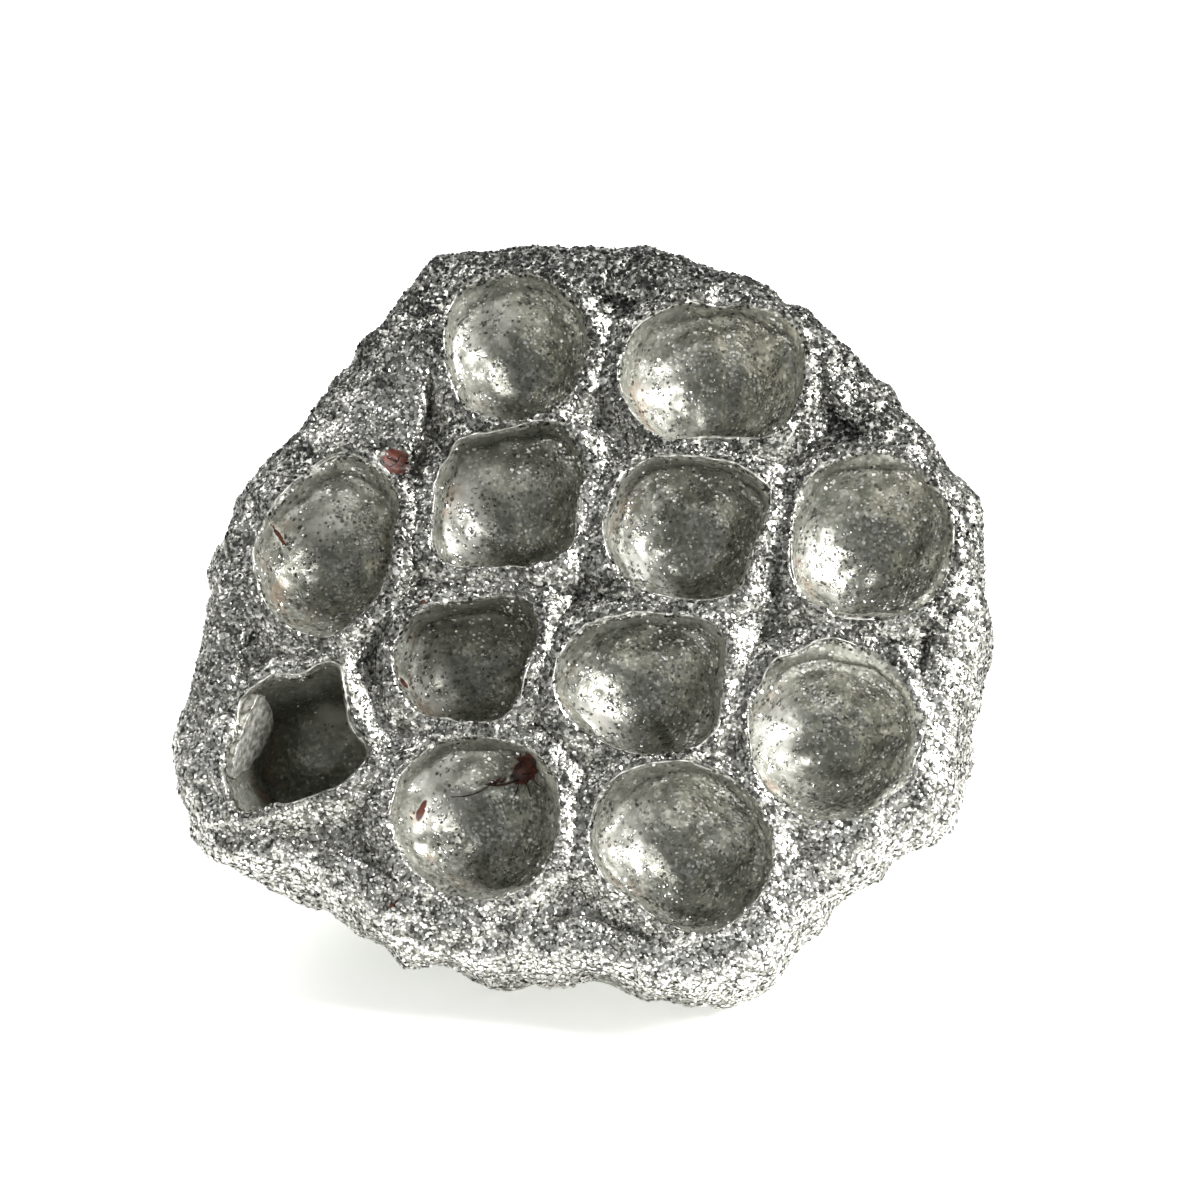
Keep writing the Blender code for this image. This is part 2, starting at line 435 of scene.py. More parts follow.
sideMake = {
    "folds": (1.05, 6.5, 26.0),  # height, folds' frequency around, and length along
    "wrinkles": (0.60, 15.0, 17.0),
    "hairlines": (0.20, 38.0, 11.0),
    "hollows": (0.7, 11.0),  # broad dents: height and cell size
}

# long creases of the side: angle and distance down at the start, the same at the end, depth, width
creases = [
    (212, 10, 232, 34, 1.3, 0.9), (238, 6, 246, 26, 0.9, 0.7), (262, 9, 254, 38, 1.2, 0.8),
    (288, 5, 276, 30, 1.0, 0.8), (305, 12, 296, 40, 1.3, 0.9), (331, 6, 322, 28, 0.9, 0.7),
    (350, 14, 334, 42, 1.1, 0.8), (14, 7, 8, 30, 1.1, 0.9), (31, 10, 44, 37, 1.2, 0.8),
    (58, 5, 62, 24, 0.9, 0.7), (79, 11, 70, 40, 1.4, 1.0), (97, 7, 104, 33, 1.0, 0.8),
    (118, 12, 112, 41, 1.2, 0.8), (141, 5, 150, 27, 1.2, 0.9), (163, 9, 158, 38, 1.1, 0.8),
    (182, 6, 191, 30, 0.9, 0.7), (199, 15, 186, 42, 1.2, 0.8), (224, 20, 206, 44, 0.9, 0.6),
    (272, 18, 286, 43, 0.9, 0.6), (20, 19, 34, 44, 0.8, 0.6), (88, 20, 96, 43, 0.9, 0.6),
    (128, 16, 140, 36, 0.7, 0.6), (316, 17, 306, 33, 0.7, 0.5), (42, 14, 30, 30, 0.7, 0.5),
]

# spots where the skin is torn down to the red-brown husk: x, y, half width, half height, turn, depth
tornSpots = [
    (-19.3, 14.9, 1.35, 1.05, 0, 0.35), (-5.3, -15.1, 1.55, 0.90, 20, 1.1), (-8.0, -15.9, 1.5, 0.15, 16, 0.6),
    (-30.9, 7.6, 0.22, 0.9, 32, 0.1), (-17.2, -7.0, 0.16, 0.5, 20, 0.2), (-15.6, 0.6, 0.35, 0.28, 0, 0.1),
    (-15.2, -19.2, 0.22, 0.9, -12, 0.1), (-16.5, -29.2, 0.4, 0.3, 0, 0.1),
]


def squareToDisk(cells):
    # the larger of a point's two coordinates becomes its radius, and their ratio its angle
    line = np.linspace(-1, 1, cells + 1)
    u, v = np.meshgrid(line, line, indexing="ij")
    wide = np.abs(u) >= np.abs(v)
    radius = np.where(wide, u, v)
    safe = np.where(radius == 0, 1, radius)
    angle = np.where(wide, math.pi / 4 * v / safe, math.pi / 2 - math.pi / 4 * u / safe)
    x, y = radius * np.cos(angle), radius * np.sin(angle)
    return np.hypot(x, y).ravel(), np.arctan2(y, x).ravel()


def facePoints():
    # the disk becomes the face: a dome, then the shoulder as a quarter turn; inside each mouth the
    # points move down onto the bowl, evenly along its wall
    radius, angle = squareToDisk(bodyMake["cells"])
    start = bodyMake["shoulderStart"]
    rim, shoulder = rimRadius(angle), shoulderWidth(angle)
    quarter = np.clip((radius - start) / (1 - start), 0, 1) * math.pi / 2
    onShoulder = rim - shoulder * (1 - np.sin(quarter))
    reach = np.where(radius < start, radius / start * (rim - shoulder), onShoulder)
    x, y = reach * np.cos(angle), reach * np.sin(angle)
    flatHeight = podForm["dome"] * (1 - np.clip(radius / start, 0, 1) ** 2)
    points = np.stack([x, y, flatHeight - podForm["shoulderDrop"] * (1 - np.cos(quarter))], -1)
    info = {
        "socket": np.zeros(len(points)),  # the wall's parameter inside a bowl
        "theta": angle.copy(),  # angle about the pod, or about the bowl's middle
        "web": np.full(len(points), 99.0),  # distance to the nearest mouth
        "seam": np.full(len(points), 99.0),  # distance along the wall from the collar's foot
        "which": np.full(len(points), -1),
        "shoulder": quarter / (math.pi / 2),
        "down": np.zeros(len(points)),  # distance down the side
    }
    for index, name in enumerate(sockets):
        dx, dy = x - sockets[name][0], y - sockets[name][1]
        turn = np.arctan2(dy, dx)
        mouth = mouthRadius(turn, name)
        gap = np.hypot(dx, dy) - mouth
        gap[np.abs(gap) < bodyMake["snap"]] = 0
        outside = gap > 0
        rise = socketForm["lipRise"] * lipWave(name, turn) * bell(gap, socketForm["lipWidth"])
        points[:, 2] += np.where(outside, rise, 0)
        info["web"] = np.minimum(info["web"], np.where(outside, gap, 0))
        distance, t = wallTable(name)
        inside = ~outside
        along = -gap[inside] / mouth[inside] * distance[-1]
        wallShare = np.interp(along, distance, t)
        points[inside] = bowlPoint(name, turn[inside], wallShare)
        info["socket"][inside] = wallShare
        info["seam"][inside] = along - np.interp(socketForm["collarPart"], t, distance)
        info["theta"][inside] = turn[inside]
        info["which"][inside] = index
    hollow = crustMake["webHollow"] * easeStep(0.9, 3.6, info["web"]) * (radius < start)
    points[:, 2] -= np.where(info["which"] < 0, hollow, 0)
    return points, info


def faceTriangles(points):
    # each cell is split along its shorter diagonal, which keeps the mouths' edges clean
    n = bodyMake["cells"] + 1
    i, j = np.meshgrid(np.arange(n - 1), np.arange(n - 1), indexing="ij")
    a, b = (i * n + j).ravel(), ((i + 1) * n + j).ravel()
    c, d = ((i + 1) * n + j + 1).ravel(), (i * n + j + 1).ravel()
    first = np.linalg.norm(points[a] - points[c], axis=1) < np.linalg.norm(points[b] - points[d], axis=1)
    one = np.where(first[:, None], np.stack([a, b, c], -1), np.stack([a, b, d], -1))
    two = np.where(first[:, None], np.stack([a, c, d], -1), np.stack([b, c, d], -1))
    return np.concatenate([one, two])


def facePerimeter():
    # the grid's outer points in order around it, from the angle -45 degrees
    n = bodyMake["cells"]
    run = np.arange(n)
    sides = [(n, run), (n - run, n), (0, n - run), (run, 0)]
    return np.concatenate([np.broadcast_to(i * (n + 1) + j, n) for i, j in sides])


def ringJoin(upper, lower):
    # triangles between two rings of point numbers; the lower one may have half as many points
    lowerNext = np.roll(lower, -1)
    if len(upper) == len(lower):
        pairs = [(upper, lower, lowerNext), (upper, lowerNext, np.roll(upper, -1))]
    else:
        even, odd = upper[::2], upper[1::2]
        pairs = [(even, lower, odd), (odd, lower, lowerNext), (odd, lowerNext, np.roll(even, -1))]
    return np.concatenate([np.stack(three, -1) for three in pairs])


def sideRings():
    # rings at even distances along the mean meridian, from the rim to the stem's end and across its cut
    depth = np.linspace(podForm["side"][0][0], stemEnd, 2000)
    run = np.hypot(np.diff(smoothCurve(meridian, depth)), np.diff(depth))
    distance = np.concatenate([[0], np.cumsum(run)])
    at = np.arange(1, int(distance[-1] / bodyMake["rowStep"]) + 1) * bodyMake["rowStep"]
    rings = [(s, np.interp(s, distance, depth), 1.0) for s in at]
    inward = np.arange(1, bodyMake["endRings"]) / bodyMake["endRings"]
    end = [(distance[-1] + bodyMake["endStep"] * k, stemEnd, 1 - share) for k, share in enumerate(inward, 1)]
    return rings + end


def bodySurface():
    # the face's grid, then rings down the side that start from the grid's edge, and one closing point
    points, info = facePoints()
    triangles = [faceTriangles(points)]
    ring, count = facePerimeter(), len(points)
    halvings = list(bodyMake["halvings"])
    rows, down, theta = [points], [info["down"]], [info["theta"]]
    for distance, depth, share in sideRings():
        step = 1
        if halvings and distance > halvings[0]:
            halvings.pop(0)
            step = 2
        columns = len(ring) // step
        angle = -math.pi / 4 + 2 * math.pi * np.arange(columns) / columns
        reach = sideRadius(angle, np.full(columns, depth)) * share
        rows.append(np.stack([reach * np.cos(angle), reach * np.sin(angle), np.full(columns, -depth)], -1))
        down.append(np.full(columns, distance))
        theta.append(angle)
        new = count + np.arange(columns)
        triangles.append(ringJoin(ring, new))
        ring, count = new, count + columns
    rows.append(np.array([[0, 0, -stemEnd]]))
    down.append(down[-1][:1])
    theta.append(np.zeros(1))
    triangles.append(np.stack([ring, np.full(len(ring), count), np.roll(ring, -1)], -1))
    points = np.concatenate(rows)
    pad = len(points) - len(info["socket"])
    fills = {"socket": 0.0, "web": 99.0, "seam": 99.0, "which": -1, "shoulder": 1.0}
    made = {key: np.concatenate([info[key], np.full(pad, fill)]) for key, fill in fills.items()}
    made["down"], made["theta"] = np.concatenate(down), np.concatenate(theta)
    return points, np.concatenate(triangles), made


def crustMove(points):
    # lumps, grains and grit, added up
    return sum(relief(points, crustMake[key], 2, 20 + k) for k, key in enumerate(("lumps", "grains", "grit")))


def bowlMove(points, made):
    # broad dents, small lumps, streaks that run down the wall, the groove at the collar's foot with a
    # swelling above it, and a pit at the bottom
    share, theta, which, seam = made["socket"], made["theta"], made["which"], made["seam"]
    inner = easeStep(0.03, 0.25, share)
    move = inner * (relief(points, bowlMake["dents"], 2, 50) + relief(points, bowlMake["lumps"], 2, 53))
    height, around, along = bowlMake["streaks"]
    wall = np.stack([theta / around, share / along, which * 5.0], -1)
    streak = latticeNoise(wall, 1.0, 60)
    move += height * inner * (1 - easeStep(0.7, 1.0, share)) * streak
    circle = np.stack([np.cos(theta) * 1.6, np.sin(theta) * 1.6, which * 7.0], -1)
    strength = np.clip(0.55 + 0.65 * latticeNoise(circle, 1.0, 62) + 0.3 * np.sin(theta), 0, 1.2)
    depth, width = bowlMake["seam"]
    wander = seam + 0.8 * latticeNoise(circle, 0.7, 63)
    groove = depth * strength * bell(wander, width)
    move += 0.5 * depth * strength * bell(wander + 1.7 * width, 1.3 * width) - groove
    depth, radius = bowlMake["pit"]
    fromMiddle = (1 - share) * bowlMake["radius"]
    offset = np.hypot(fromMiddle * np.cos(theta) + 1.2 * np.sin(which * 2.3),
                      fromMiddle * np.sin(theta) + 1.2 + 0.6 * np.cos(which * 1.7))
    move -= depth * bell(offset, radius)
    return move, groove, streak


def sideMove(points, made):
    # folds, wrinkles and hairlines that run down the side, each a sharp-crested noise; a point goes round
    # a circle of noise, so they close up behind; then broad hollows and a fine grain
    theta, down = made["theta"], made["down"]
    radius = np.hypot(points[:, 0], points[:, 1])
    move = np.zeros(len(points))
    for seed, key in enumerate(("folds", "wrinkles", "hairlines")):
        height, around, along = sideMake[key]
        drift = theta + 0.075 * latticeNoise(points, 9.0, 70 + seed)
        circle = np.stack([np.cos(drift) * around / 2, np.sin(drift) * around / 2, down / along], -1)
        ridge = 1 - 2 * np.abs(latticeNoise(circle, 1.0, 80 + seed))
        move += height * np.clip(radius / 16, 0.25, 1) * ridge
    height, cell = sideMake["hollows"]
    move += height * np.clip(radius / 20, 0, 1) * latticeNoise(points, cell, 90)
    return move + 0.05 * layeredNoise(points, 0.9, 2, 95)


def creaseMove(points, made):
    # each crease is a wandering line down the side: a groove, deepest in its middle, with a fold beside it
    radius = np.hypot(points[:, 0], points[:, 1])
    move, depthMade = np.zeros(len(points)), np.zeros(len(points))
    for index, (angleA, downA, angleB, downB, depth, width) in enumerate(creases):
        t = (made["down"] - downA) / (downB - downA)
        middle = angleA + (angleB - angleA) * t + 1.5 * np.sin(6 * t + index)
        away = np.radians(angleAway(np.degrees(made["theta"]), middle)) * radius
        taper = np.sin(math.pi * np.clip(t, 0, 1)) ** 0.7
        groove = 0.8 * depth * taper * bell(away, width)
        move += 0.45 * depth * taper * bell(away - 1.7 * width, 1.2 * width) - groove
        depthMade = np.maximum(depthMade, groove)
    return move, depthMade


def stemMove(points, made):
    # knobs, and a cut end with a ring of air channels around one in the middle
    stem = easeStep(45.5, 50.0, made["down"])
    channel = np.zeros(len(points))
    cut = points[:, 2] < -stemEnd + 0.02
    for k in range(9):
        reach, turn, size = (0.0, 0.0, 0.42) if k == 8 else (1.95, k * math.pi / 4 + 0.2, 0.5)
        away = np.hypot(points[:, 0] - reach * math.cos(turn), points[:, 1] - reach * math.sin(turn))
        channel = np.maximum(channel, np.where(cut, np.exp(-(away / size) ** 4), 0))
    knobs = 0.45 * layeredNoise(points, 2.4, 2, 100) + 0.12 * latticeNoise(points, 0.7, 101)
    return stem * knobs - 0.9 * channel, channel


def tornShare(points, made):
    # 1 inside a torn spot, falling to 0 at its ragged edge, and how deep it is torn
    share, depthMade = np.zeros(len(points)), np.zeros(len(points))
    ragged = 0.35 * latticeNoise(points, 0.7, 110)
    for x, y, halfWidth, halfHeight, turn, depth in tornSpots:
        c, s = math.cos(math.radians(turn)), math.sin(math.radians(turn))
        dx, dy = points[:, 0] - x, points[:, 1] - y
        away = np.hypot((c * dx + s * dy) / halfWidth, (c * dy - s * dx) / halfHeight) + ragged
        inside = np.where(made["down"] > 0, 0, np.clip(1.6 - away, 0, 1))
        share, depthMade = np.maximum(share, inside), np.maximum(depthMade, depth * inside)
    return share, depthMade


def bySocket(setting, which):
    # a setting with one value for each socket, for each point; 0 outside the bowls
    return np.append([setting[name] for name in sockets], 0)[which.astype(int)]


# how metallic and how rough the painted body is: on the crust, and the effect of each mark
paintLook = {
    # the mark thin is painted shade on the bowls' upper walls, and here it also makes them less metallic
    "metal": (0.86, {
        "side": -0.30, "inner": -0.14, "torn": -1.4, "worn": -0.3, "thin": -0.35, "thick": -0.25}),
    # the mark thick is a painted highlight in the bowls, and it also makes the paint less metallic and
    # rougher
    "rough": (0.30, {"side": 0.14, "inner": -0.02, "torn": 0.2, "thick": 0.10}),
}


def weather(points, triangles, made):
    # moves every point along its normal: crust on the face, dents in the bowls, folds down the side
    down, share = made["down"], made["socket"]
    inBowl, onSide = made["which"] >= 0, made["down"] > 0
    crust = np.where(inBowl, 1 - easeStep(0.0, 0.10, share), 1.0)
    crust = crust * (1 - easeStep(2.5, 10.0, down + 2.2 * latticeNoise(points, 3.5, 5)))
    move = crust * crustMove(points)
    nearRim = made["shoulder"] * (1 - easeStep(3, 12, down)) * (0.8 - 0.35 * np.sin(made["theta"]))
    move += nearRim * relief(points, crustMake["rimLumps"], 2, 40)
    bowl, seamGroove, streak = bowlMove(points, made)
    crease, creaseGroove = creaseMove(points, made)
    stemPart, channel = stemMove(points, made)
    torn, tornDepth = tornShare(points, made)
    folded = easeStep(0, 9, down) * sideMove(points, made) + crease
    move += np.where(inBowl, bowl, 0) + np.where(onSide, folded, 0)
    move += stemPart - tornDepth
    leftWall = np.clip(-np.cos(made["theta"] - 0.35), 0, 1) * bell(share - 0.36, 0.22)
    worn = np.where(inBowl, leftWall * easeStep(-0.1, 0.7, layeredNoise(points, 2.2, 2, 120)), 0)
    shadeStrength, facing = (bySocket(bowlMake[key], made["which"]) for key in ("upperWallShade", "highlightWall"))
    # painted shade on the bowls' upper walls, strongest on the wall above the middle (the mark thin)
    thin = shadeStrength * np.clip(1.15 * np.sin(made["theta"] + 0.1), 0, 1) ** 0.8 * bell(share - 0.30, 0.30)
    # a painted highlight: paler paint on the wall where the key light's highlight falls (the mark thick)
    at, spread, turn = bowlMake["highlightReach"]
    thick = bell(share - at, spread) * bell(angleAway(np.degrees(made["theta"]), facing), turn)
    thick = np.where(inBowl, thick * np.clip(0.75 + 0.7 * layeredNoise(points, 1.6, 2, 125), 0, 1), 0)
    side = easeStep(3.0, 11.0, down + 2.5 * latticeNoise(points, 3.5, 6))
    inner = easeStep(0.02, 0.10, share)
    # painted shade in the grooves: the seam at the collar's foot, the side's creases and the stem's air
    # channels
    groove = np.where(inBowl, 1.1 * seamGroove, np.where(onSide, creaseGroove, 0)) + channel
    looks = {
        "crust": crust,
        "inner": inner,
        "side": side,
        "groove": np.clip(groove, 0, 1),
        "streak": np.where(inBowl, 0.5 + 0.5 * streak, 0.5),
        "torn": torn,
        "worn": worn,
        "thin": thin,
        "thick": thick,
    }
    # the crust's own value, plus what each mark adds or takes away where it is full
    for key, (plain, marks) in paintLook.items():
        looks[key] = np.clip(plain + sum(effect * looks[mark] for mark, effect in marks.items()), 0, 1)
    return points + pointNormals(points, triangles) * move[:, None], looks


plainPoints, bodyTriangles, bodyInfo = bodySurface()
bodyPoints, bodyLooks = weather(plainPoints, bodyTriangles, bodyInfo)
podBody = buildMesh("podBody", place(bodyPoints), bodyTriangles, **bodyLooks)
print("body", len(bodyPoints), "points", len(bodyTriangles), "triangles")


lipMake = {
    "step": 0.25,  # between sections, in millimetres
    "thickness": 0.12,
    "sunk": 0.55,  # how far the lip's foot is buried
    "plain": -0.28,  # where the lip is worn down, its crest is under the crust
    "curl": 0.35,  # how far a high lip bends in over the mouth, as a share of its height
    # stretches that stand higher, as (angle, height, spread in degrees)
    "raised": {
        "topLeft": [(235, 0.35, 30)],
        "topRight": [(262, 0.55, 38), (205, 0.30, 20)],
        "left": [(140, 0.55, 32), (196, 0.55, 25), (75, 0.30, 20)],
        "upperMidLeft": [(128, 0.95, 32), (85, 0.45, 24), (180, 0.40, 22)],
        "upperMidRight": [(75, 0.70, 34), (30, 0.30, 18), (195, 0.45, 22)],
        "right": [(120, 0.30, 22), (262, 0.45, 36), (10, 0.35, 20)],
        "lowLeft": [(120, 0.80, 30), (78, 0.70, 24), (45, 0.35, 16)],
        "lowerMidLeft": [(262, 0.55, 34), (350, 0.40, 24), (120, 0.30, 18)],
        "lowerMidRight": [(95, 0.60, 34), (160, 0.55, 22), (318, 0.40, 26)],
        "lowRight": [(100, 0.65, 30), (140, 0.45, 20), (345, 0.40, 25)],
        "bottomLeft": [(5, 0.35, 25), (300, 0.30, 30)],
        "bottomRight": [(135, 0.70, 30), (100, 0.35, 20), (330, 0.30, 25)],
    },
}


def lipSections(name):
    # a thin upright skin along the mouth: a foot, a waist and a crest, with a ragged height
    length = 2 * math.pi * meanRadius(name)
    angle = np.linspace(0, 2 * math.pi, int(length / lipMake["step"]), endpoint=False)
    edge = mouthEdge(name, angle)
    edge[:, 2] += crustMove(edge)
    tangent = unitLength(np.roll(edge, -1, 0) - np.roll(edge, 1, 0))
    upward = np.tile([0.0, 0.0, 1.0], (len(angle), 1))
    inward = unitLength(np.cross(upward, tangent))
    seed = nameSeed(name)
    height = lipMake["plain"] + 0.10 * roundNoise(angle, 0.3, seed)
    for middle, most, spread in lipMake["raised"][name]:
        height = height + most * bell(angleAway(np.degrees(angle), middle), spread)
    height *= 0.9 + 0.35 * roundNoise(angle, 0.14, seed + 1) + 0.2 * roundNoise(angle, 0.05, seed + 2)
    thin, sunk = lipMake["thickness"], lipMake["sunk"]
    bend = lipMake["curl"] * np.maximum(height, 0) * (1 + 0.8 * roundNoise(angle, 0.25, seed + 3))
    sway = 0.12 * roundNoise(angle, 0.12, seed + 4)
    corners = [
        (0.30, -sunk), (0.45 * thin + 0.3 * bend + sway, 0.35 * height),
        (bend + sway + 0.3 * thin, height), (bend + sway - 0.3 * thin, height + 0.02),
        (0.3 * bend + sway - 0.7 * thin, 0.4 * height), (-0.40, -sunk),
    ]
    section = np.stack([np.stack(np.broadcast_arrays(*corner, height)[:2], -1) for corner in corners], axis=1)
    return sweptPoints(edge, inward, upward, section)


def socketLips():
    # one ring of lip for each mouth, all in one mesh
    points, triangles, count = [], [], 0
    for name in sockets:
        ring = lipSections(name)
        points.append(ring.reshape(-1, 3))
        triangles.append(sweptTriangles(len(ring), ring.shape[1], True) + count)
        count += ring.shape[0] * ring.shape[1]
    return buildMesh("socketLips", place(np.concatenate(points)), np.concatenate(triangles))


lips = socketLips()
print("lips", len(lips.data.polygons), "triangles")


tornSkinMake = {
    "top": (-31.9, -8.9),  # the torn edge's upper end, its middle and its lower end, on the face
    "middle": (-33.1, -12.8),
    "bottom": (-34.0, -17.0),
    "reach": 2.2,  # how far it hangs across the hole
    "drop": 5.5,
    "crest": 0.7,  # how high the torn edge stands
    "pleats": 5.5,  # folds along its length
    "pleatHeight": 0.40,
    "thickness": 0.16,
}


def tornSkin():
    # a torn, pleated skin in the low left socket: from its root in the wall it rises to a pale crest,
    # bends over and hangs into the hole, with pleats across its length that grow downwards
    make = tornSkinMake
    rows, columns = 90, 36
    u, v = np.meshgrid(np.linspace(0, 1, rows), np.linspace(0, 1, columns), indexing="ij")
    control = np.array([make["top"], make["middle"], make["bottom"]])
    weights = np.stack([(1 - u) ** 2, 2 * u * (1 - u), u**2], -1)
    edge = weights @ (control * [[1], [2], [1]] - [[0, 0], (control[0] + control[2]) / 2, [0, 0]])
    grain = np.stack([u * 9.0, v * 4.0, np.zeros_like(u)], -1).reshape(-1, 3)
    ragged = latticeNoise(grain, 0.6, 130).reshape(u.shape)
    wide = np.sin(math.pi * np.clip(u, 0.02, 0.98)) ** 0.5
    over = np.clip((v - 0.18) / 0.82, 0, 1)
    across = (-0.8 + 1.1 * easeStep(0, 0.2, v)) + (make["reach"] - 1.6 * u) * over * wide
    crest = make["crest"] * wide * bell(v - 0.17, 0.11) * (1 + 0.6 * ragged)
    fall = -0.9 + crest - make["drop"] * wide * over**1.25
    pleat = np.sin(2 * math.pi * make["pleats"] * (u + 0.02 * ragged) + 1.6 * v)
    folds = make["pleatHeight"] * easeStep(0.18, 0.5, v) * (0.7 + 0.5 * ragged) * pleat
    height = faceHeight(edge[..., 0], edge[..., 1]) + fall + folds
    top = np.stack([edge[..., 0] + across, edge[..., 1] + 0.25 * folds, height], -1)
    slope = unitLength(np.cross(np.gradient(top, axis=0), np.gradient(top, axis=1)))
    slope *= np.sign(slope[..., 2:].mean())
    under = top - make["thickness"] * slope
    loop = np.concatenate([top, under[:, ::-1]], axis=1)
    triangles = sweptTriangles(rows, loop.shape[1], False)
    points = loop.reshape(-1, 3)
    return points, triangles


def facingOut(points, triangles):
    # turned round when the signed volume, the sum of the triangles' box products, is negative
    a, b, c = points[triangles[:, 0]], points[triangles[:, 1]], points[triangles[:, 2]]
    return triangles[:, ::-1] if np.einsum("ij,ij->", a, np.cross(b, c)) < 0 else triangles


skinPoints, skinTriangles = tornSkin()
skinTriangles = facingOut(skinPoints, skinTriangles)
skin = buildMesh("tornSkin", place(skinPoints), skinTriangles)
print("torn skin", len(skin.data.polygons), "triangles")


# husk fibres in the torn spots: start x and y, end x and y, sideways bow, radius, lift
fibreMake = {
    "sides": 7,
    "rows": 15,
    "fibres": [
        (-5.6, -15.0, -1.7, -16.1, 0.25, 0.09, 0.25), (-5.0, -14.6, -2.6, -14.9, 0.20, 0.08, 0.30),
        (-6.0, -15.5, -9.3, -16.0, 0.30, 0.10, 0.20), (-8.6, -15.9, -12.6, -17.5, 0.40, 0.06, 0.12),
        (-5.4, -15.6, -4.6, -17.3, 0.15, 0.07, 0.20), (-6.4, -14.6, -5.2, -13.3, -0.20, 0.08, 0.30),
        (-5.9, -15.9, -6.6, -17.6, 0.10, 0.06, 0.20), (-4.4, -15.3, -3.2, -16.7, -0.20, 0.06, 0.25),
        (-20.1, 15.2, -18.5, 14.7, 0.15, 0.07, 0.15), (-19.8, 14.3, -18.9, 15.5, -0.10, 0.06, 0.15),
    ],
}


def onBody(x, y):
    # the body's surface over a spot of the face, as the mean of the nearest four points
    face = bodyInfo["down"] == 0
    points = bodyPoints[face]
    near = [np.argsort((points[:, 0] - a) ** 2 + (points[:, 1] - b) ** 2)[:4] for a, b in zip(x, y)]
    return points[np.array(near)].mean(axis=1)


def huskFibres():
    # thin bowed threads, round in section and tapering to both ends, that lie on the torn spots
    t = np.linspace(0, 1, fibreMake["rows"])
    turn = np.linspace(0, 2 * math.pi, fibreMake["sides"], endpoint=False)
    points, triangles, count = [], [], 0
    for x0, y0, x1, y1, bow, radius, lift in fibreMake["fibres"]:
        side = np.array([y0 - y1, x1 - x0]) / math.hypot(x1 - x0, y1 - y0)
        x = x0 + (x1 - x0) * t + bow * side[0] * np.sin(math.pi * t)
        y = y0 + (y1 - y0) * t + bow * side[1] * np.sin(math.pi * t)
        path = onBody(x, y)
        path[:, 2] = np.convolve(np.pad(path[:, 2], 2, "edge"), np.ones(5) / 5, "valid")
        path = np.stack([x, y, path[:, 2] + lift * np.sin(math.pi * np.minimum(1.3 * t, 1)) + 0.05], -1)
        tangent = unitLength(np.gradient(path, axis=0))
        sideways = unitLength(np.cross(tangent, [[0.0, 0.0, 1.0]]))
        upward = np.cross(sideways, tangent)
        thick = radius * (0.25 + 0.75 * np.sin(math.pi * np.clip(t, 0.03, 0.97)) ** 0.6)
        section = np.stack([np.cos(-turn), np.sin(-turn)], -1)[None] * thick[:, None, None]
        points.append(sweptPoints(path, sideways, upward, section).reshape(-1, 3))
        triangles.append(sweptTriangles(len(t), len(turn), False) + count)
        count += len(t) * len(turn)
    points, triangles = np.concatenate(points), np.concatenate(triangles)
    return buildMesh("huskFibres", place(points), facingOut(points, triangles))


fibres = huskFibres()
print("fibres", len(fibres.data.polygons), "triangles")


flakeMake = {
    "crustDensity": 9.0,  # flakes for each square millimetre
    "bowlDensity": 11.0,
    "sideDensity": 0.35,
    "coarse": (0.18, 0.045),  # mean radius and spread on the face
    "fine": (0.16, 0.035),  # the same inside the bowls
    "tilts": (0.17, 0.55),  # spread of the tilt, as a slope, of flat-lying flakes and of the others
    "flatShare": 0.65,
    "lift": 0.05,
    "pieces": 4,
    "bareShoulder": (-22.5, 20.5, 7.0),  # x, y and spread of the bare patch of face without sockets
    "glitterSide": -0.1,  # angle about a bowl's middle that caught the most glitter
}


def flakeDensity():
    # for each point of the body: most on the crust, in patches; in the bowls more on one side
    crust, share = bodyLooks["crust"], bodyInfo["socket"]
    patch = 0.5 + 0.5 * latticeNoise(bodyPoints, 4.0, 200)
    face = flakeMake["crustDensity"] * crust * (0.75 + 0.4 * patch)
    facing = easeStep(-0.45, 0.8, np.cos(bodyInfo["theta"] - flakeMake["glitterSide"]) + 0.5 * patch - 0.2)
    facing = np.maximum(facing, 0.6 * easeStep(0.85, 1.0, share))
    bowl = np.where(bodyInfo["which"] >= 0, flakeMake["bowlDensity"] * easeStep(0.03, 0.45, share), 0)
    side = flakeMake["sideDensity"] * (bodyInfo["down"] > 0)
    torn = np.clip(1 - 1.5 * bodyLooks["torn"], 0, 1)
    clumps = 0.55 + 0.6 * latticeNoise(bodyPoints, 1.6, 205)
    deep = np.where(bodyInfo["which"] == list(sockets).index("lowLeft"), 0.25, 1)
    return (face + bowl * deep * clumps * (0.46 + 0.54 * facing) + side) * torn


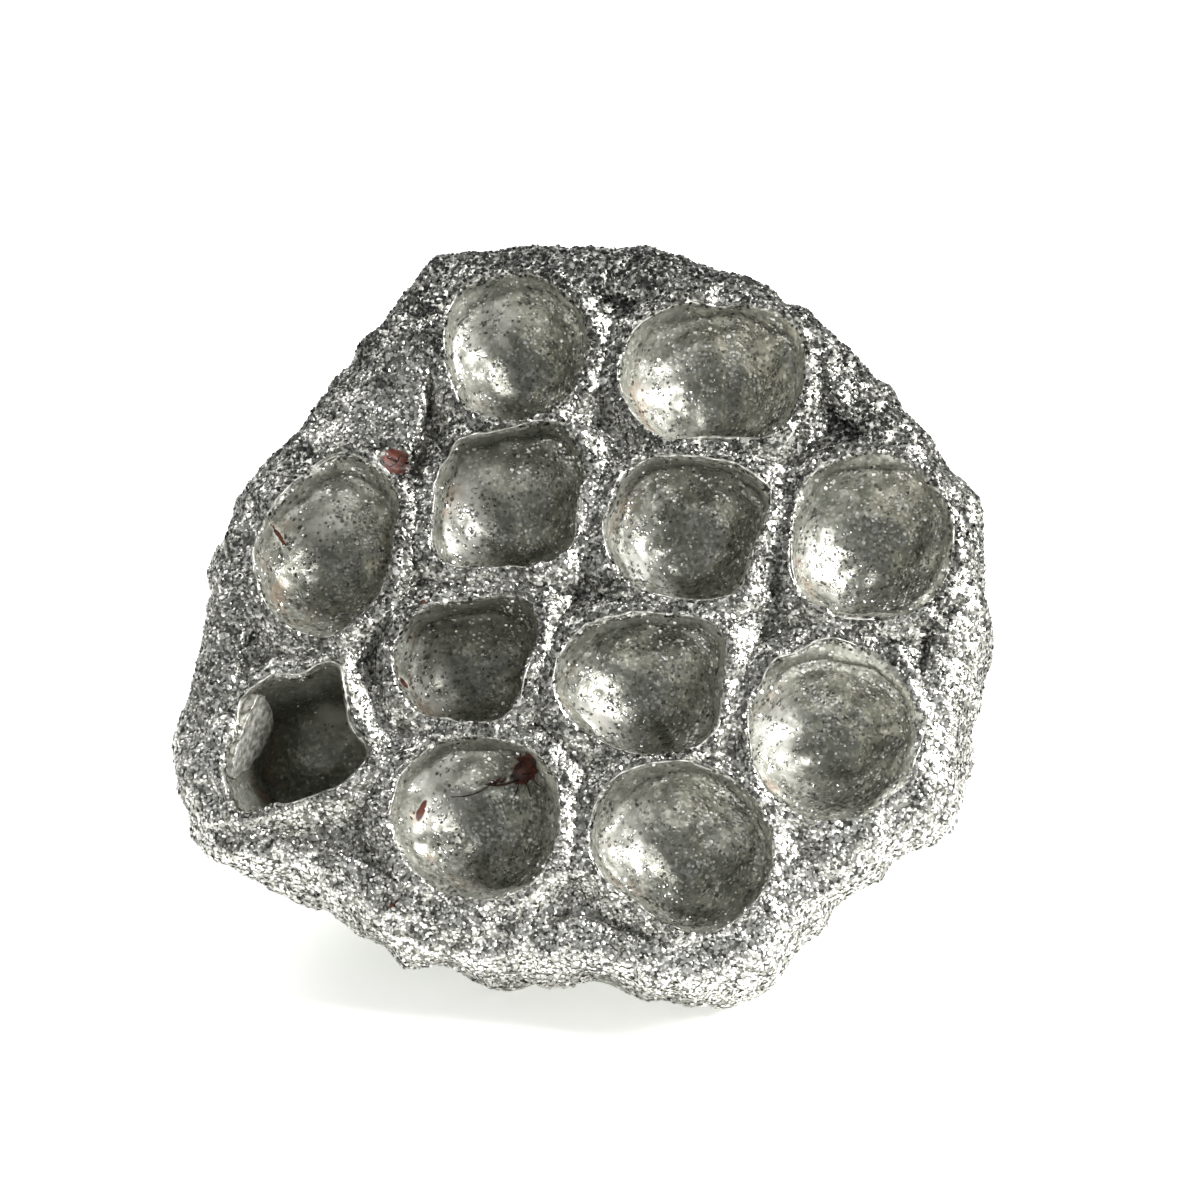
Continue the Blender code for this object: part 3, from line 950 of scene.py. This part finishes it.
def flakeCloud():
    # picks triangles by area times density, a random spot in each, and builds one flake there: a
    # hexagon whose middle stands a hair proud on both sides, so that it is closed and never quite flat
    dice = np.random.default_rng(7)
    a, b, c = (bodyPoints[bodyTriangles[:, k]] for k in range(3))
    area = np.linalg.norm(np.cross(b - a, c - a), axis=1) / 2
    weight = area * flakeDensity()[bodyTriangles].mean(axis=1)
    number = int(weight.sum())
    chosen = np.searchsorted(np.cumsum(weight) / weight.sum(), dice.random(number))
    u, v = dice.random((2, number))
    flip = u + v > 1
    u, v = np.where(flip, 1 - u, u), np.where(flip, 1 - v, v)
    corners = bodyTriangles[chosen]
    mixed = [(1 - u - v)[:, None], u[:, None], v[:, None]]
    normals = pointNormals(bodyPoints, bodyTriangles)
    spot = sum(bodyPoints[corners[:, k]] * mixed[k] for k in range(3))
    normal = sum(normals[corners[:, k]] * mixed[k] for k in range(3))
    inBowl = bodyInfo["socket"][corners].mean(axis=1) > 0.08
    mean = np.where(inBowl, flakeMake["fine"][0], flakeMake["coarse"][0])
    spread = np.where(inBowl, flakeMake["fine"][1], flakeMake["coarse"][1])
    size = np.clip(dice.normal(mean, spread), 0.08, 0.4)
    flat = dice.random(number) < flakeMake["flatShare"]
    tilt = np.where(flat, flakeMake["tilts"][0], flakeMake["tilts"][1]) * np.where(inBowl, 0.6, 1)
    normal = unitLength(normal + dice.normal(0, 1, (number, 3)) * tilt[:, None])
    helper = np.where(np.abs(normal[:, :1]) < 0.8, [[1.0, 0, 0]], [[0, 1.0, 0]])
    acrossA = unitLength(np.cross(normal, helper))
    acrossB = np.cross(normal, acrossA)
    spot = spot + normal * (flakeMake["lift"] + 0.25 * size * dice.random(number))[:, None]
    corner = dice.uniform(0, 2 * math.pi, number)[:, None] + np.arange(6) * math.pi / 3
    ring = np.cos(corner)[..., None] * acrossA[:, None] + np.sin(corner)[..., None] * acrossB[:, None]
    ring = spot[:, None] + ring * size[:, None, None]
    thick = (0.02 + 0.03 * size)[:, None] * normal
    flakes = np.concatenate([ring, (spot + thick)[:, None], (spot - thick)[:, None]], axis=1)
    # each flake's tone is partly random paint and dust on the film, and partly painted glints and painted
    # dark reflections
    tone = 0.07 + 0.76 * dice.random(number) + 0.45 * layeredNoise(spot, 2.6, 2, 210)
    # painted light: flakes are made paler on the lower rim and on the bare shoulder, where the light falls
    # brighter, and paler in the bowls, where none is dark
    low = np.hypot(spot[:, 0], spot[:, 1]) * -spot[:, 1] / 2100
    bareX, bareY, bareSpread = flakeMake["bareShoulder"]
    bare = 0.5 * bell(np.hypot(spot[:, 0] - bareX, spot[:, 1] - bareY), bareSpread)
    return flakes, np.clip(tone + np.where(inBowl, 0.22, low + bare), np.where(inBowl, 0.42, 0), 1)


def flakeTriangles(number):
    # six triangles over the hexagon and six under it
    k = np.arange(6)
    top = np.stack([k, (k + 1) % 6, np.full(6, 6)], -1)
    under = np.stack([(k + 1) % 6, k, np.full(6, 7)], -1)
    one = np.concatenate([top, under])
    return (one[None] + 8 * np.arange(number)[:, None, None]).reshape(-1, 3)


flakes, flakeTones = flakeCloud()
glitterPieces = []
for part, chosen in enumerate(np.array_split(np.arange(len(flakes)), flakeMake["pieces"]), 1):
    corners = place(flakes[chosen].reshape(-1, 3))
    tones = np.repeat(flakeTones[chosen], 8)
    glitterPieces.append(buildMesh(f"glitterFlakes{part}", corners, flakeTriangles(len(chosen)), tone=tones))
    glitterPieces[-1].data.shade_flat()
print("glitter", len(flakes), "flakes in", len(glitterPieces), "pieces")


def newMaterial(name):
    material = bpy.data.materials.new(name)
    material.use_nodes = True
    return material, material.node_tree, material.node_tree.nodes["Principled BSDF"]


paintedTissue = {
    "mottle": 0.0045,  # metres across one patch of thicker or thinner paint
    "fibre": 0.0009,
    "pore": 0.0006,
    "grain": 0.00034,  # fine glitter and grit between the flakes
    "speckleShare": 0.42,  # how much of the bowls' colour comes from that grit
    "crust": [(0.0, "#454641"), (0.35, "#74746d"), (0.7, "#b2b1a9"), (1.0, "#f4f3ef")],
    "bowl": [(0.35, "#94958a"), (0.68, "#cdcdc1")],
    "speckle": [(0.0, "#56574d"), (0.3, "#85867a"), (0.75, "#b2b2a6"), (1.0, "#fbfaf4")],
    "side": [(0.35, "#8b9084"), (0.65, "#b4b8ac")],
    "husk": [(0.35, "#1c0a05"), (0.65, "#5f2a16")],
    "streakColour": "#626357",  # in order: dull streaks, bare tissue, painted shade on the upper walls, painted highlight, specks, painted shade in grooves
    "wornColour": "#8d6b50",
    "thinColour": "#3f4036",
    # thickColour is the painted highlight
    "thickColour": "#ecebe3",
    "speckColour": "#3b3c36",
    "grooveShadeColour": "#3f4038",
    "bump": (0.5, 0.00014),  # strength and height in metres
}


def paintedTissueMaterial():
    # dry, spongy plant tissue under sprayed silver paint: metallic on the crust, dull and olive in the bowls,
    # with painted shade
    # # on their upper walls and in the grooves, a painted highlight on the walls that face the key light, and
    # grit and fine glitter caught in the crust of the face
    make = paintedTissue
    material, tree, shader = newMaterial("silverPaintOnDryTissue")
    spot = addNode(tree, "ShaderNodeTexCoord").outputs["Object"]
    mask = {key: addNode(tree, "ShaderNodeAttribute", attribute_name=key).outputs["Fac"]
            for key in bodyLooks if key != "crust"}
    mottle, fibre, pore = (addNode(tree, "ShaderNodeTexNoise", {
        "Vector": spot, "Scale": 1 / make[key], "Detail": detail, "Roughness": 0.6}).outputs["Fac"]
        for key, detail in (("mottle", 5), ("fibre", 3), ("pore", 2)))
    cells = addNode(tree, "ShaderNodeTexVoronoi", {"Vector": spot, "Scale": 1 / make["grain"]})
    chance = addNode(tree, "ShaderNodeSeparateColor", {"Color": cells.outputs["Color"]})
    sources = {"crust": chance.outputs["Red"], "speckle": chance.outputs["Green"],
               "bowl": mottle, "side": mottle, "husk": fibre}
    tint = {key: addNode(tree, "ShaderNodeValToRGB", {"Fac": source}, stops=make[key]).outputs["Color"]
            for key, source in sources.items()}
    ragged = addNode(tree, "ShaderNodeMath", {0: fibre, 1: 0.4, 2: mask["side"]}, operation="MULTIPLY_ADD")
    tornEdge = addNode(tree, "ShaderNodeMath", {0: pore, 1: 0.5, 2: mask["torn"]}, operation="MULTIPLY_ADD")
    thin = addNode(tree, "ShaderNodeMath", {0: pore, 1: mottle}, operation="MULTIPLY")
    # each share: its source, where it starts and ends, and its most
    share = {key: addNode(tree, "ShaderNodeMapRange", {
        "Value": source, "From Min": low, "From Max": high, "To Max": most},
        interpolation_type="SMOOTHSTEP").outputs["Result"] for key, (source, low, high, most) in {
            "streak": (mask["streak"], 0.55, 0.9, 0.45),
            "onSide": (ragged.outputs[0], 0.45, 0.95, 1.0),
            "speck": (thin.outputs[0], 0.32, 0.40, 0.8),
            # groove: painted shade in the grooves and the stem's air channels
            "groove": (mask["groove"], 0.15, 1.0, 0.8),
            "worn": (mask["worn"], 0.1, 0.9, 0.5),
            # thin: painted shade on the bowls' upper walls
            "thin": (mask["thin"], 0.0, 1.0, 0.85),
            # thick: a painted highlight on the walls that face the key light
            "thick": (mask["thick"], 0.0, 1.0, 0.75),
            "torn": (tornEdge.outputs[0], 0.62, 0.85, 1.0),
        }.items()}
    bowl, side = tint["bowl"], tint["side"]
    marks = [(share[key], linearColour(make[key + "Colour"])) for key in ("streak", "thin", "thick", "worn")]
    for amount, top in [(make["speckleShare"], tint["speckle"]), *marks]:
        bowl = addNode(tree, "ShaderNodeMix", {0: amount, 6: bowl, 7: top}, data_type="RGBA").outputs[2]
    specks = {0: share["speck"], 6: side, 7: linearColour(make["speckColour"])}
    side = addNode(tree, "ShaderNodeMix", specks, data_type="RGBA").outputs[2]
    colour = tint["crust"]
    for amount, top in (
        (mask["inner"], bowl), (share["onSide"], side),
        (share["groove"], linearColour(make["grooveShadeColour"])), (share["torn"], tint["husk"]),
    ):
        colour = addNode(tree, "ShaderNodeMix", {0: amount, 6: colour, 7: top}, data_type="RGBA").outputs[2]
    tree.links.new(colour, shader.inputs["Base Color"])
    tree.links.new(mask["metal"], shader.inputs["Metallic"])
    rough = addNode(tree, "ShaderNodeMath", {0: fibre, 1: 0.16, 2: mask["rough"]}, operation="MULTIPLY_ADD")
    tree.links.new(rough.outputs[0], shader.inputs["Roughness"])
    grit = {0: chance.outputs["Blue"], 1: 0.4, 2: fibre}
    height = addNode(tree, "ShaderNodeMath", grit, operation="MULTIPLY_ADD").outputs[0]
    strength, distance = make["bump"]
    bump = addNode(tree, "ShaderNodeBump", {"Height": height, "Strength": strength, "Distance": distance})
    tree.links.new(bump.outputs["Normal"], shader.inputs["Normal"])
    return material


paperySkin = {
    "wrinkle": 0.0007,  # metres across one wrinkle
    "colours": [(0.30, "#6f6e64"), (0.48, "#b5b4ab"), (0.62, "#e6e5de")],
    "metallic": 0.65,
    "roughness": 0.40,
    "bump": (0.4, 0.0001),
}


def paperySkinMaterial():
    # the papery inner skin of the pod where it stands free: the spray lies thick on it, so it is the
    # palest paint, satin, with the skin's fine wrinkles showing through
    make = paperySkin
    material, tree, shader = newMaterial("silverPaintOnPaperySkin")
    spot = addNode(tree, "ShaderNodeTexCoord").outputs["Object"]
    fine = {"Vector": spot, "Scale": 1 / make["wrinkle"], "Detail": 3.0}
    grain = addNode(tree, "ShaderNodeTexNoise", fine).outputs["Fac"]
    tint = addNode(tree, "ShaderNodeValToRGB", {"Fac": grain}, stops=make["colours"])
    tree.links.new(tint.outputs["Color"], shader.inputs["Base Color"])
    shader.inputs["Metallic"].default_value = make["metallic"]
    shader.inputs["Roughness"].default_value = make["roughness"]
    strength, distance = make["bump"]
    bump = addNode(tree, "ShaderNodeBump", {"Height": grain, "Strength": strength, "Distance": distance})
    tree.links.new(bump.outputs["Normal"], shader.inputs["Normal"])
    return material


driedHusk = {
    "fibre": 0.0008,  # metres across one fibre
    "colours": [(0.35, "#170a07"), (0.65, "#4a2113")],
    "roughness": 0.65,
}


def huskMaterial():
    # bare dried husk where the paint never reached: matt, red-brown to nearly black
    material, tree, shader = newMaterial("bareDriedHusk")
    spot = addNode(tree, "ShaderNodeTexCoord").outputs["Object"]
    fine = {"Vector": spot, "Scale": 1 / driedHusk["fibre"], "Detail": 2.0}
    grain = addNode(tree, "ShaderNodeTexNoise", fine).outputs["Fac"]
    tint = addNode(tree, "ShaderNodeValToRGB", {"Fac": grain}, stops=driedHusk["colours"])
    tree.links.new(tint.outputs["Color"], shader.inputs["Base Color"])
    shader.inputs["Roughness"].default_value = driedHusk["roughness"]
    return material


glitterFilm = {
    "colours": [(0.0, "#40403d"), (0.25, "#74746f"), (0.5, "#999892"), (0.75, "#c0bfb9"), (1.0, "#e8e7e2")],
    "roughness": 0.36,
}


def glitterMaterial():
    # metallised polyester film cut to hexagons: a mirror where it is bare, dull where paint or dust lies on
    # it; each flake's tone,
    # # from nearly black to nearly white, is partly that and partly painted glints and painted light
    material, tree, shader = newMaterial("metallisedPolyesterGlitter")
    tone = addNode(tree, "ShaderNodeAttribute", attribute_name="tone").outputs["Fac"]
    tint = addNode(tree, "ShaderNodeValToRGB", {"Fac": tone}, stops=glitterFilm["colours"])
    tree.links.new(tint.outputs["Color"], shader.inputs["Base Color"])
    shader.inputs["Metallic"].default_value = 1.0
    shader.inputs["Roughness"].default_value = glitterFilm["roughness"]
    return material


podBody.data.materials.append(paintedTissueMaterial())
skinFinish, glitterFinish = paperySkinMaterial(), glitterMaterial()
lips.data.materials.append(skinFinish)
skin.data.materials.append(skinFinish)
fibres.data.materials.append(huskMaterial())
for piece in glitterPieces:
    piece.data.materials.append(glitterFinish)

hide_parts("lotus_pod")
pieces = [podBody, lips, skin, fibres, *glitterPieces]
for piece in pieces:
    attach(piece, "root")
print("materials on", len(pieces), "pieces")


stageMake = {
    "floorSize": 5.0,
    "floorColour": "#f1f1ef",
    "floorGlow": 0.62,  # a little light from the floor itself, as on a light table
    "worldColour": "#c9cbcc",
    "worldStrength": 0.45,
    "focal": 186.0,
    "distance": 0.62,
    "azimuth": 8.0,
    "elevation": 26.5,
}

# each softbox: direction as azimuth and elevation, distance, width, height, watts
softboxes = {
    "keySoftbox": (84.0, 38.0, 0.90, 0.42, 0.42, 18.5),
    "leftSoftbox": (253.0, 46.0, 0.90, 0.50, 0.40, 3.0),
    "backSoftbox": (190.0, 30.0, 0.90, 0.70, 0.50, 1.6),
}


def around(azimuth, elevation, distance):
    # a point at this distance; azimuth 0 is in front of the face and 90 is to its right
    a, e = math.radians(azimuth), math.radians(elevation)
    return Vector((math.sin(a) * math.cos(e), -math.cos(a) * math.cos(e), math.sin(e))) * distance


def aim(thing, target):
    thing.rotation_euler = (target - thing.location).to_track_quat("-Z", "Y").to_euler()


def floorAndWorld():
    half = stageMake["floorSize"] / 2
    corners = np.array([[-half, -half, 0], [half, -half, 0], [half, half, 0], [-half, half, 0]], float)
    floor = buildMesh("paleFloor", corners, np.array([[0, 1, 2], [0, 2, 3]]))
    material, _, shader = newMaterial("mattPaper")
    shader.inputs["Base Color"].default_value = linearColour(stageMake["floorColour"])
    shader.inputs["Roughness"].default_value = 0.9
    shader.inputs["Emission Color"].default_value = linearColour(stageMake["floorColour"])
    shader.inputs["Emission Strength"].default_value = stageMake["floorGlow"]
    floor.data.materials.append(material)
    world = bpy.data.worlds.new("studio")
    world.use_nodes = True
    background = world.node_tree.nodes["Background"]
    background.inputs["Color"].default_value = linearColour(stageMake["worldColour"])
    background.inputs["Strength"].default_value = stageMake["worldStrength"]
    bpy.context.scene.world = world


def studio(target):
    # the softboxes and the camera, all aimed at the middle of the pod
    for name, (azimuth, elevation, distance, width, height, watts) in softboxes.items():
        light = bpy.data.lights.new(name, "AREA")
        light.shape = "RECTANGLE"
        light.size, light.size_y, light.energy = width, height, watts
        lamp = bpy.data.objects.new(name, light)
        bpy.context.scene.collection.objects.link(lamp)
        lamp.visible_camera = False
        lamp.location = target + around(azimuth, elevation, distance)
        aim(lamp, target)
    camera = bpy.data.objects.new("camera", bpy.data.cameras.new("camera"))
    bpy.context.scene.collection.objects.link(camera)
    camera.data.lens = stageMake["focal"]
    camera.data.clip_start = 0.01
    camera.location = target + around(stageMake["azimuth"], stageMake["elevation"], stageMake["distance"])
    aim(camera, target)
    bpy.context.scene.camera = camera


bpy.context.scene.view_settings.view_transform = "Standard"
floorAndWorld()
studio(Vector((solidLow + solidHigh) / 2))
print("floor, lights and camera")
